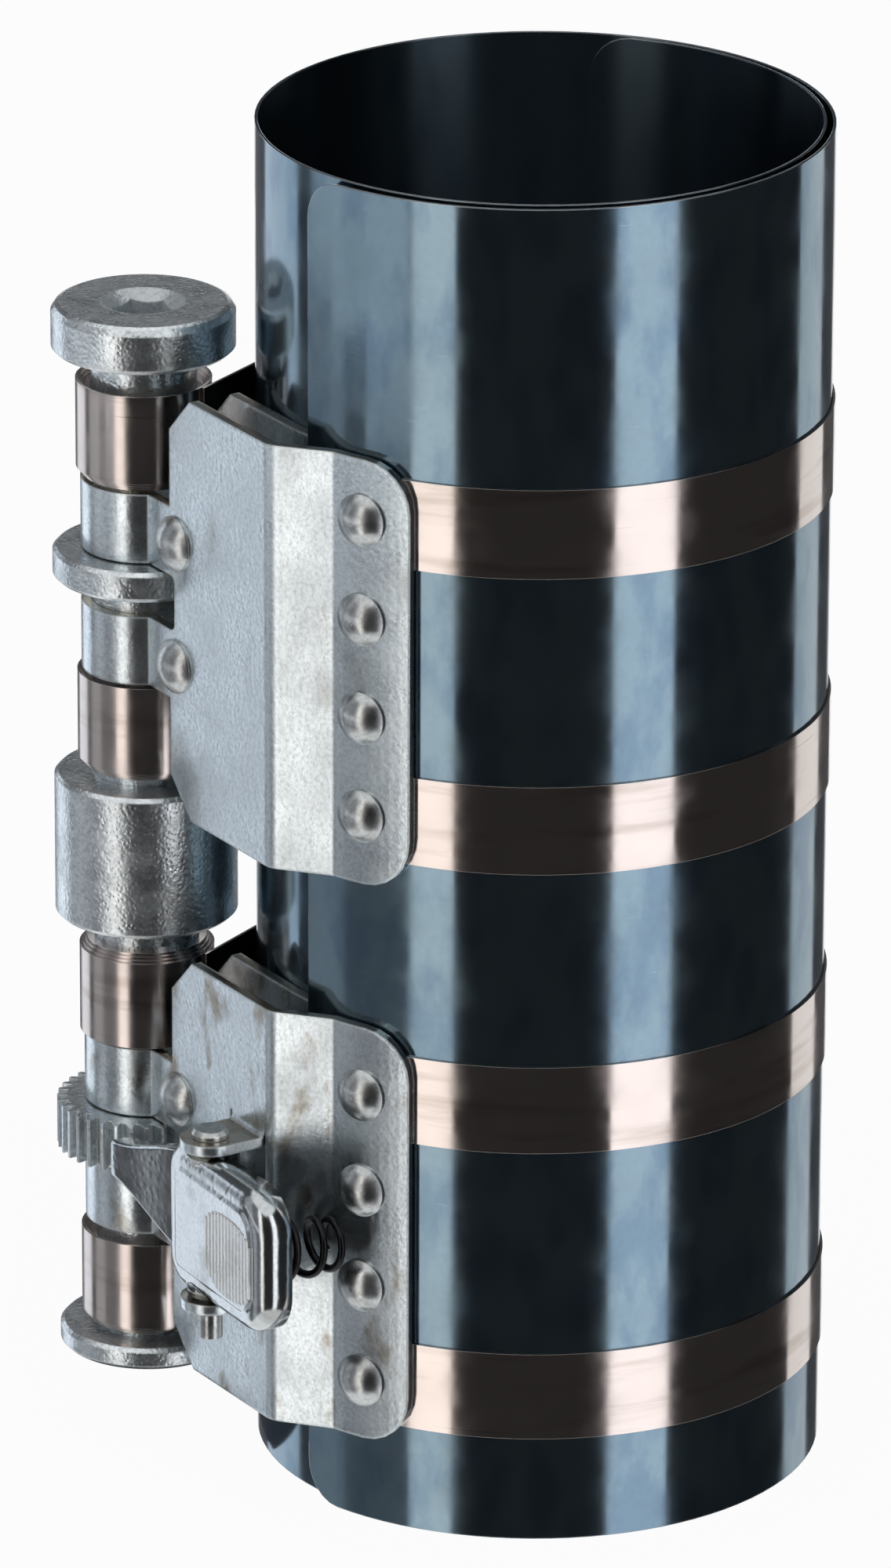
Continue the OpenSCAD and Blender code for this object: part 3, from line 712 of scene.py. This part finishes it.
@dataclass
class ThumbLever:
    """Pawl: a pressed and crowned thumb plate with grip ribs, two lugs on the pin, and a nose for the wheel.

    Sizes are in millimetres in the legs' frame.
    """

    left: float = 22.278
    right: float = 46.478
    low: float = -10.15
    high: float = 8.05
    face: float = -12.2
    rim: float = -8.0
    sheet: float = 1.2
    corner: float = 5.5
    nose_corner: float = 4.0
    corner_steps: int = 10
    edge: float = 2.3
    edge_steps: int = 7
    lean: float = 1.3
    crown: float = 0.35
    crown_shares: tuple[float, ...] = (0.1, 0.25, 0.3, 0.35)
    crown_step: float = 0.2
    pin: tuple[float, float] = (28.878, -8.6)
    lug_r: float = 2.8
    lug_steps: int = 40
    nose: tuple[float, float] = (8.45, -7.2)
    nose_low: float = -2.15
    nose_high: float = 2.55
    nose_t: float = 3.2
    nose_bite: float = 0.6
    nose_cuts: int = 9
    nose_edge: float = 0.55
    nose_edge_steps: int = 4
    web_low: float = -7.6
    web_high: float = 5.9
    web_inner: float = 0.4
    web_outer: float = 1.3
    ribs: int = 14
    rib_pitch: float = 0.82
    rib_w: float = 0.52
    rib_deep: float = 0.5
    rib_sink: float = 0.10
    rib_on_crown: float = 0.9
    rib_mid: tuple[float, float] = (38.6, -1.6)
    rib_half: float = 5.0
    rib_taper: float = 0.35
    rib_edge: float = 0.09
    rib_edge_steps: int = 3
    # For finding faces and edges: tolerances beside a plane, depth of an edge, and angle of a rim in radians
    on_plane: float = 1e-6
    beside: float = 1e-3
    least_depth: float = 1.0
    rim_angle: float = 0.9

    def lean_at(self, x: float) -> float:
        """Tells how far the face stands behind its nominal plane at x, as the plate leans in at the nose's side."""
        return self.lean * (self.right - x) / (self.right - self.left)

    def plate(self) -> bmesh.types.BMesh:
        """Presses the thumb plate: a shallow tray with round corners and a crowned face.

        Returns:
            The open shell of the plate's outer skin.
        """
        tray = bmesh.new()
        bmesh.ops.create_cube(tray, size=1)
        size = (self.right - self.left, self.rim - self.face, self.high - self.low)
        middle = ((self.right + self.left) / 2, (self.rim + self.face) / 2, (self.high + self.low) / 2)
        bmesh.ops.scale(tray, vec=size, verts=tray.verts)
        bmesh.ops.translate(tray, vec=middle, verts=tray.verts)
        rear = [f for f in tray.faces if f.calc_center_median().y > self.rim - self.on_plane]
        bmesh.ops.delete(tray, geom=rear, context="FACES_ONLY")
        for side, radius in ((self.left, self.nose_corner), (self.right, self.corner)):
            deep = [
                e
                for e in tray.edges
                if all(abs(v.co.x - side) < self.beside for v in e.verts)
                and abs(e.verts[0].co.y - e.verts[1].co.y) > self.least_depth
            ]
            bmesh.ops.bevel(
                tray,
                geom=deep,
                offset=radius,
                affect="EDGES",
                segments=self.corner_steps,
                profile=0.5,
                material=-1,
            )
        brow = [e for e in tray.edges if all(v.co.y < self.face + self.on_plane for v in e.verts)]
        bmesh.ops.bevel(
            tray,
            geom=brow,
            offset=self.edge,
            affect="EDGES",
            segments=self.edge_steps,
            profile=0.5,
            material=-1,
        )
        front = max(tray.faces, key=lambda f: f.calc_area())
        for share in self.crown_shares:
            inset = bmesh.ops.inset_individual(
                tray, faces=[front], thickness=self.crown_step, depth=self.crown * share
            )
            front = max((f for f in (front, *inset["faces"]) if f.is_valid), key=lambda f: f.calc_area())
        for v in tray.verts:
            share = (self.rim - v.co.y) / (self.rim - self.face)
            v.co.y += share * self.lean_at(v.co.x)
        return tray

    def grip(self, shape: bmesh.types.BMesh) -> None:
        """Adds the upright grip ribs, longest in the middle of the pad.

        Args:
            shape: The plate.
        """
        tilt = Matrix.Rotation(-math.atan(self.lean / (self.right - self.left)), 3, "Z")
        for k in range(self.ribs):
            place = 2 * k / (self.ribs - 1) - 1
            x = self.rib_mid[0] + place * self.rib_pitch * (self.ribs - 1) / 2
            half = self.rib_half * (1 - self.rib_taper * abs(place) ** 3)
            made = bmesh.ops.create_cube(shape, size=1)["verts"]
            bmesh.ops.scale(shape, vec=(self.rib_w, self.rib_deep, 2 * half), verts=made)
            bmesh.ops.rotate(shape, cent=(0, 0, 0), matrix=tilt, verts=made)
            y = self.face + self.lean_at(x) - self.crown * self.rib_on_crown + self.rib_sink
            bmesh.ops.translate(shape, vec=(x, y, self.rib_mid[1]), verts=made)
            # Each edge once, in an order that is the same at every run
            brow = dict.fromkeys(e for v in made for e in v.link_edges if all(w.co.y < y for w in e.verts))
            bmesh.ops.bevel(
                shape,
                geom=list(brow),
                offset=self.rib_edge,
                affect="EDGES",
                segments=self.rib_edge_steps,
                profile=0.5,
                material=-1,
            )

    def lugs(self, shape: bmesh.types.BMesh) -> None:
        """Adds the two lugs that turn on the pin.

        Args:
            shape: The plate.
        """
        for z in (self.low + self.sheet / 2, self.high - self.sheet / 2):
            disc = bmesh.ops.create_cone(
                shape,
                cap_ends=True,
                segments=self.lug_steps,
                radius1=self.lug_r,
                radius2=self.lug_r,
                depth=self.sheet,
            )["verts"]
            bmesh.ops.translate(shape, vec=(*self.pin, z), verts=disc)
            neck = bmesh.ops.create_cube(shape, size=1)["verts"]
            deep = self.pin[1] - self.face - self.edge
            bmesh.ops.scale(shape, vec=(2 * self.lug_r, deep, self.sheet), verts=neck)
            middle = (self.pin[1] + self.face + self.edge) / 2
            bmesh.ops.translate(shape, vec=(self.pin[0], middle, z), verts=neck)

    def beak(self) -> bpy.types.Mesh:
        """Makes the nose, on a web that widens smoothly to the plate.

        Returns:
            The nose's own mesh, in the legs' frame.
        """
        shape = bmesh.new()
        root = self.left + self.sheet + self.nose_bite
        bmesh.ops.create_cube(shape, size=1)
        long = [e for e in shape.edges if abs(e.verts[0].co.x - e.verts[1].co.x) > 0.5]
        bmesh.ops.subdivide_edges(shape, edges=long, cuts=self.nose_cuts, use_grid_fill=True)
        for v in shape.verts:
            share = v.co.x + 0.5
            flare = share * share * (3 - 2 * share)
            low = self.nose_low + (self.web_low - self.nose_low) * flare
            high = self.nose_high + (self.web_high - self.nose_high) * flare
            inner = self.nose[1] + self.web_inner * flare
            outer = self.nose[1] - self.nose_t + self.web_outer * flare
            v.co = (
                self.nose[0] + (root - self.nose[0]) * share,
                inner if v.co.y > 0 else outer,
                high if v.co.z > 0 else low,
            )
        rims = [e for e in shape.edges if e.calc_face_angle() > self.rim_angle]
        bmesh.ops.bevel(
            shape,
            geom=rims,
            offset=self.nose_edge,
            affect="EDGES",
            segments=self.nose_edge_steps,
            profile=0.5,
            material=-1,
        )
        nose = bpy.data.meshes.new("nose")
        shape.to_mesh(nose)
        shape.free()
        return nose

    def build(self, shop: Workshop) -> None:
        """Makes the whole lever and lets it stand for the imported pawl.

        Args:
            shop: Source of the materials.
        """
        shell = self.plate()
        bmesh.ops.recalc_face_normals(shell, faces=shell.faces)
        bmesh.ops.solidify(shell, geom=shell.faces[:], thickness=self.sheet)
        self.grip(shell)
        self.lugs(shell)
        nose = self.beak()
        shell.from_mesh(nose)
        bpy.data.meshes.remove(nose)
        lever = make_piece("thumb_lever", shell, LegFrame().matrix())
        weighted = lever.modifiers.new("Even_normals", "WEIGHTED_NORMAL")
        weighted.keep_sharp = True
        shop.finish(lever, PLATED_LEVER_STEEL)
        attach(lever, Body.PAWL.value)
        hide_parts("pawl_lever")


@dataclass
class PackedPieces:
    """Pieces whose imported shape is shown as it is, with the finish for each start of a name."""

    finishes: dict[str, MetalFinish] = field(
        default_factory=lambda: {
            "sleeve": BLUED_SPRING_STEEL,
            "tension_band": BRIGHT_STRIP_STEEL,
            "wound_band": WOUND_STRIP_STEEL,
            "upper_bracket": PLATED_SHEET_STEEL,
            "lower_bracket": HANDLED_SHEET_STEEL,
            "upper_flange_rivets": BURNISHED_RIVET_STEEL,
            "lower_flange_rivets": BURNISHED_RIVET_STEEL,
            "upper_ear_rivets": BURNISHED_RIVET_STEEL,
            "lower_ear_rivets": BURNISHED_RIVET_STEEL,
            "pawl_pin": BURNISHED_RIVET_STEEL,
            "pawl_spring": OIL_BLACK_WIRE,
            "pawl_lever": PLATED_LEVER_STEEL,
            "spindle_shaft": TUMBLED_TURNED_STEEL,
            "spacer_ring": TUMBLED_TURNED_STEEL,
            "centre_collar": TUMBLED_TURNED_STEEL,
            "ratchet_wheel": TUMBLED_TURNED_STEEL,
            "end_flange": TUMBLED_TURNED_STEEL,
        }
    )

    def dress(self, shop: Workshop) -> None:
        """Dresses each node by the start of its name.

        Args:
            shop: Source of the materials.
        """
        for name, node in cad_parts.items():
            for start, finish in self.finishes.items():
                if name.startswith(start):
                    shop.finish(node, finish)


@dataclass(frozen=True)
class Card:
    """A curved card round the object, which only reflections and light see.

    Its middle is a direction from the camera's side in degrees, positive to the right, and its width is an angle in
    degrees. Its low and high edges are a distance and a height in metres. A card with a glow of 0 is a plain one.
    """

    name: str
    middle: float
    width: float
    colour: str
    glow: float
    low: tuple[float, float] = (2.5, -2.5)
    high: tuple[float, float] = (2.5, 2.5)


# The cards reach below the floor, because upright metal seen from above reflects what lies low
CARDS = (
    Card("Dark_room_front", 31, 182, "#474646", 0, (2.6, -2.6), (2.6, 2.6)),
    Card("Softbox_left", -41, 18, "#fffaf6", 1.65, (2.4, -2.4), (2.4, 2.4)),
    Card("Softbox_right", 42.5, 25, "#fdfcff", 1.7, (2.4, -2.4), (2.4, 2.4)),
    Card("Grey_card_left", -65, 30, "#f4f8ff", 0.21),
    Card("Light_card_left", -91.5, 23, "#f4f8ff", 0.48),
    Card("Flag_near_left", -109, 12, "#f4f8ff", 0.10),
    Card("Pale_wall_left", -131, 32, "#eef5ff", 1.25),
    Card("Flag_far_left", -158, 22, "#f8f8ff", 0.16),
    Card("Flag_far_right", 156, 22, "#f8f8ff", 0.08),
    # Parts of the table, just under the floor: only the sleeve's upper left reflects the lit ones
    Card("Lit_table_left", -94, 18, "#f6faff", 1.0, (0.50, -0.002), (2.3, -0.002)),
    Card("Lit_table_left", -76.5, 17, "#f6faff", 1.0, (0.47, -0.002), (2.3, -0.002)),
    Card("Lit_table_left", -59, 18, "#f6faff", 1.0, (0.425, -0.002), (2.3, -0.002)),
    Card("Shaded_table_left", -115, 70, "#e8f0ff", 0.08, (0.036, -0.002), (0.058, -0.002)),
    # The ceiling that faces turned upwards reflect
    Card("Dim_ceiling_back", 180, 150, "#f2f6ff", 0.09, (2.6, 0.55), (2.0, 2.6)),
)


@dataclass
class Studio:
    """Floor, cards, light and camera: lengths of the camera in millimetres, the floor in metres, angles in degrees."""

    camera_at: tuple[float, float, float] = (-5.947, -1351.10, 592.98)
    pitch: float = 20.71
    yaw: float = math.degrees(-0.003665)
    roll: float = math.degrees(-0.003241)
    part_turn: float = 6.13
    lens: float = 279.75
    sensor: float = 36
    sight: float = 50
    floor_half: float = 8
    floor_colour: str = "#f6f6f6"
    floor_white: float = 0.96
    fill: float = 0.5
    card_step: float = 4
    card_least: int = 4

    def camera(self) -> None:
        """Places the camera where the photograph was taken from."""
        turn = Matrix.Rotation(math.radians(self.part_turn), 3, "Z")
        yaw, pitch, roll = (math.radians(a) for a in (self.yaw, self.pitch, self.roll))
        ahead = Vector((math.sin(yaw) * math.cos(pitch), math.cos(yaw) * math.cos(pitch), -math.sin(pitch)))
        right = Vector((math.cos(yaw), -math.sin(yaw), 0))
        down = ahead.cross(right)
        across = turn @ (right * math.cos(roll) + down * math.sin(roll))
        below = turn @ (down * math.cos(roll) - right * math.sin(roll))
        data = bpy.data.cameras.new("Camera")
        data.lens = self.lens
        data.sensor_width = self.sensor
        data.clip_end = self.sight
        camera = bpy.data.objects.new("Camera", data)
        axes = Matrix((across, -below, -(turn @ ahead))).transposed()
        camera.matrix_world = Matrix.Translation(turn @ Vector(self.camera_at) * MM) @ axes.to_4x4()
        bpy.context.scene.collection.objects.link(camera)
        bpy.context.scene.camera = camera

    def floor(self) -> None:
        """Lays a plain white floor that keeps the object's shadow."""
        mesh = bpy.data.meshes.new("Floor")
        shape = bmesh.new()
        bmesh.ops.create_grid(shape, x_segments=1, y_segments=1, size=self.floor_half)
        shape.to_mesh(mesh)
        shape.free()
        floor = bpy.data.objects.new("Floor", mesh)
        bpy.context.scene.collection.objects.link(floor)
        material = bpy.data.materials.new("White_paper_sweep")
        material.use_nodes = True
        tree = material.node_tree
        tree.nodes.clear()
        paper = add_node(tree, "ShaderNodeBsdfDiffuse", inputs={"Color": linear(self.floor_colour)})
        glow = add_node(tree, "ShaderNodeEmission", inputs={"Strength": 1.0})
        path = add_node(tree, "ShaderNodeLightPath")
        share = add_node(
            tree,
            "ShaderNodeMath",
            {"operation": "MULTIPLY"},
            {0: path.outputs["Is Camera Ray"], 1: self.floor_white},
        )
        mixed = add_node(
            tree,
            "ShaderNodeMixShader",
            inputs={0: share.outputs[0], 1: paper.outputs[0], 2: glow.outputs[0]},
        )
        add_node(tree, "ShaderNodeOutputMaterial", inputs={"Surface": mixed.outputs[0]})
        mesh.materials.append(material)
        floor.visible_glossy = False

    def world(self) -> None:
        """Makes a white background and a soft even light from all round."""
        world = bpy.data.worlds.new("Studio")
        bpy.context.scene.world = world
        world.use_nodes = True
        tree = world.node_tree
        tree.nodes.clear()
        path = add_node(tree, "ShaderNodeLightPath")
        seen = path.outputs["Is Camera Ray"]
        for ray in ("Is Glossy Ray", "Is Transmission Ray"):
            seen = add_node(
                tree, "ShaderNodeMath", {"operation": "MAXIMUM"}, {0: seen, 1: path.outputs[ray]}
            ).outputs[0]
        power = add_node(
            tree, "ShaderNodeMapRange", inputs={"Value": seen, "To Min": self.fill, "To Max": 1.0}
        )
        sky = add_node(
            tree, "ShaderNodeBackground", inputs={"Color": (1, 1, 1, 1), "Strength": power.outputs[0]}
        )
        add_node(tree, "ShaderNodeOutputWorld", inputs={"Surface": sky.outputs[0]})

    def stand(self, card: Card) -> None:
        """Puts up one card.

        Args:
            card: The card.
        """
        mesh = bpy.data.meshes.new(card.name)
        shape = bmesh.new()
        start = math.radians(self.part_turn - 90 + card.middle - card.width / 2)
        ends = [
            shape.verts.new((r * math.cos(start), r * math.sin(start), z)) for r, z in (card.low, card.high)
        ]
        line = shape.edges.new(ends)
        bmesh.ops.spin(
            shape,
            geom=[*ends, line],
            cent=(0, 0, 0),
            axis=(0, 0, 1),
            angle=math.radians(card.width),
            steps=max(self.card_least, int(card.width / self.card_step)),
        )
        shape.to_mesh(mesh)
        shape.free()
        board = bpy.data.objects.new(card.name, mesh)
        bpy.context.scene.collection.objects.link(board)
        board.visible_camera = False
        material = bpy.data.materials.new(card.name)
        material.use_nodes = True
        tree = material.node_tree
        tree.nodes.clear()
        colour = linear(card.colour)
        if card.glow:
            skin = add_node(tree, "ShaderNodeEmission", inputs={"Color": colour, "Strength": card.glow})
        else:
            skin = add_node(tree, "ShaderNodeBsdfDiffuse", inputs={"Color": colour})
        add_node(tree, "ShaderNodeOutputMaterial", inputs={"Surface": skin.outputs[0]})
        mesh.materials.append(material)

    def build(self) -> None:
        """Sets up the whole studio."""
        bpy.context.scene.view_settings.view_transform = "Standard"
        self.camera()
        self.floor()
        self.world()
        for card in CARDS:
            self.stand(card)


def main() -> None:
    """Builds the pieces in order."""
    logging.basicConfig(level=logging.INFO, format="%(message)s")
    shop = Workshop()
    PackedPieces().dress(shop)
    ReturnSpring().build(shop)
    ThumbLever().build(shop)
    Studio().build()


if __name__ == "__main__":
    main()
